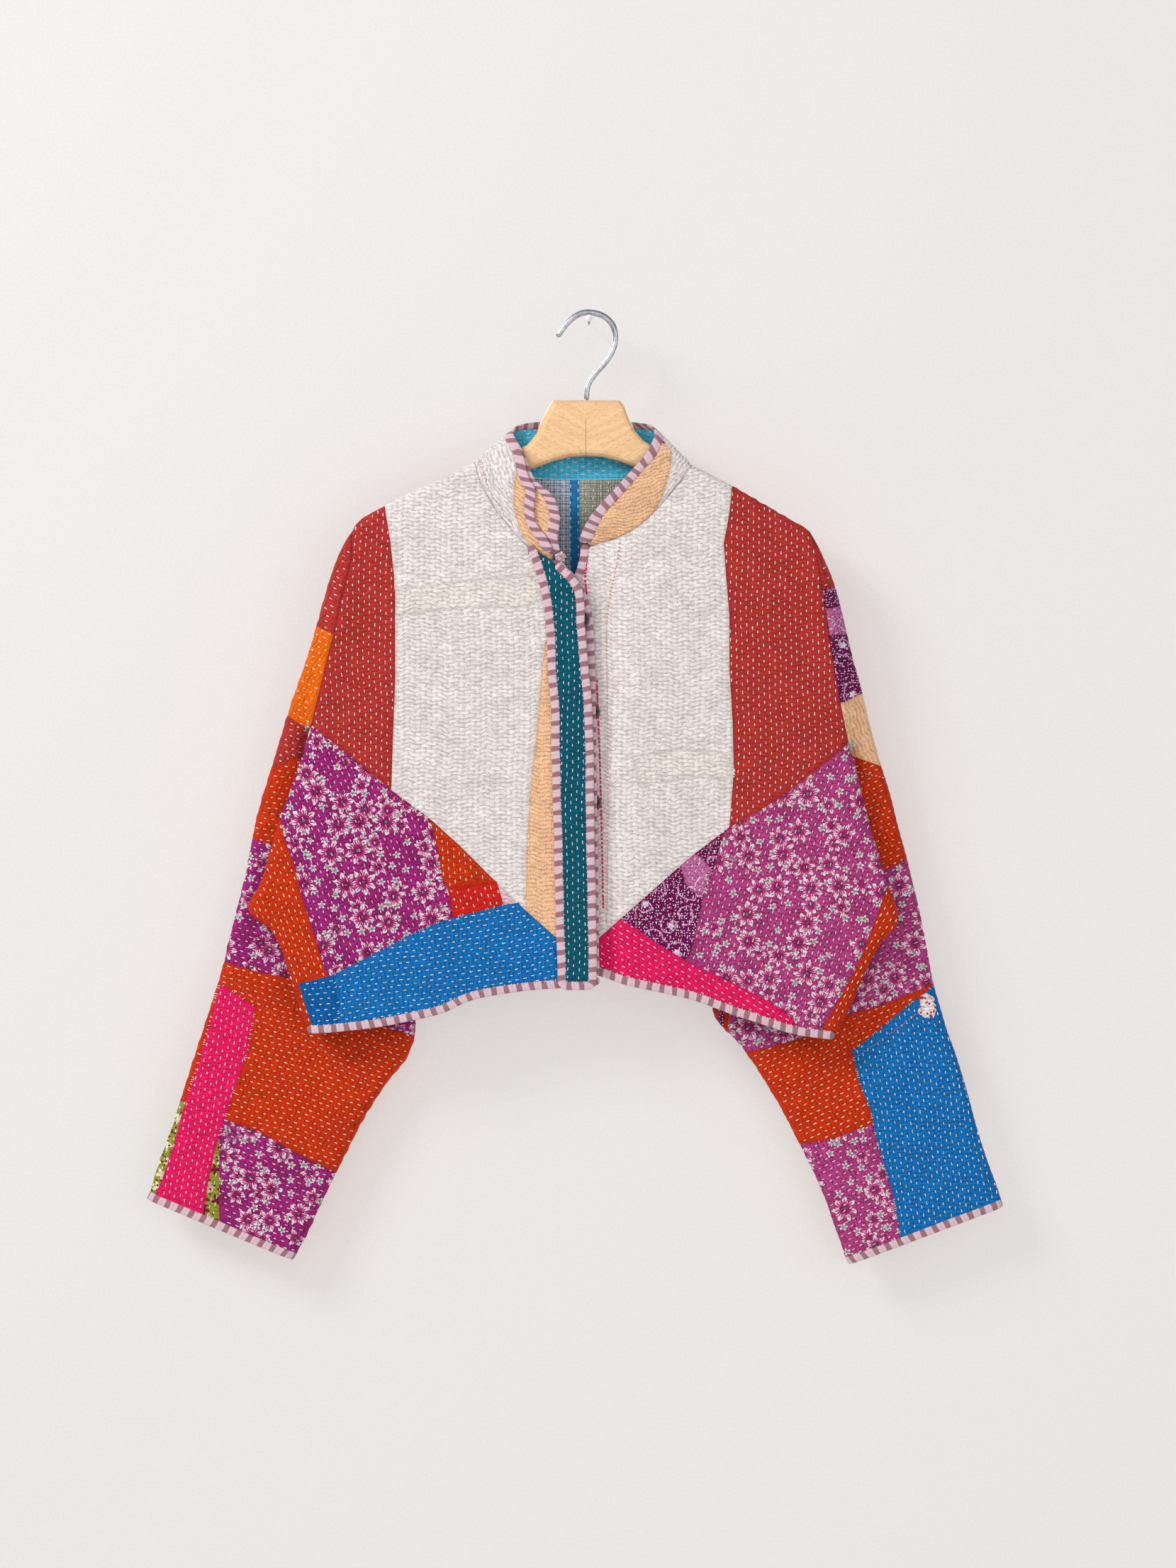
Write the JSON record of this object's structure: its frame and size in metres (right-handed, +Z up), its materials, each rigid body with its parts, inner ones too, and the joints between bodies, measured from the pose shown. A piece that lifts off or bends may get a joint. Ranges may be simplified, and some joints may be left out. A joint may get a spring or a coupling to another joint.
{
  "type": "quilted kantha jacket on a wooden hanger",
  "caption": "Cropped patchwork jacket of hand-stitched quilted cotton with stand collar, bound edges and a button front, hanging on a flat wooden hanger with a wire hook.",
  "frame": {"origin": "seat of the wire hook, at the top of the inside of its bend", "axes": "+Z up, +Y towards the back of the jacket, +X to the right as seen from the front (the wearer's left)"},
  "size_m": [0.789, 0.0621, 0.8777],
  "materials": {
    "front_right_upper": "hand-stitched cotton quilt, rust red and pale grey",
    "front_right_lower": "hand-stitched cotton quilt, magenta floral with a blue band",
    "front_left_upper": "hand-stitched cotton quilt, rust red and pale grey",
    "front_left_lower": "hand-stitched cotton quilt, magenta floral and pink",
    "back": "hand-stitched cotton quilt, rust red",
    "sleeve_right_upper": "hand-stitched cotton quilt, orange red",
    "sleeve_right_lower": "hand-stitched cotton quilt, orange red, pink and floral",
    "sleeve_left_upper": "hand-stitched cotton quilt, orange red",
    "sleeve_left_lower": "hand-stitched cotton quilt, orange red, blue and floral",
    "collar": "cotton, pale grey and peach",
    "placket": "hand-stitched cotton quilt, teal",
    "binding_collar": "woven striped cotton tape",
    "binding_collar_fold": "woven striped cotton tape",
    "binding_placket": "woven striped cotton tape",
    "binding_front_right": "woven striped cotton tape",
    "binding_front_left": "woven striped cotton tape",
    "binding_hem_right": "woven striped cotton tape",
    "binding_hem_left": "woven striped cotton tape",
    "binding_hem_back": "woven striped cotton tape",
    "binding_cuff_right": "woven striped cotton tape",
    "binding_cuff_left": "woven striped cotton tape",
    "button_1": "dark brown, horn-like",
    "button_2": "dark brown, horn-like",
    "button_3": "dark brown, horn-like",
    "hanger_right": "smooth pale beech",
    "hanger_left": "smooth pale beech",
    "hook": "satin wire"
  },
  "bodies": {
    "root": {"front_right_upper": "front_right_upper", "front_right_lower": "front_right_lower", "front_left_upper": "front_left_upper", "front_left_lower": "front_left_lower", "back": "back", "sleeve_right_upper": "sleeve_right_upper", "sleeve_right_lower": "sleeve_right_lower", "sleeve_left_upper": "sleeve_left_upper", "sleeve_left_lower": "sleeve_left_lower", "collar": "collar", "placket": "placket", "binding_collar": "binding_collar", "binding_collar_fold": "binding_collar_fold", "binding_placket": "binding_placket", "binding_front_right": "binding_front_right", "binding_front_left": "binding_front_left", "binding_hem_right": "binding_hem_right", "binding_hem_left": "binding_hem_left", "binding_hem_back": "binding_hem_back", "binding_cuff_right": "binding_cuff_right", "binding_cuff_left": "binding_cuff_left", "button_1": "button_1", "button_2": "button_2", "button_3": "button_3", "hanger_right": "hanger_right", "hanger_left": "hanger_left", "hook": "hook"}
  },
  "joints": []
}
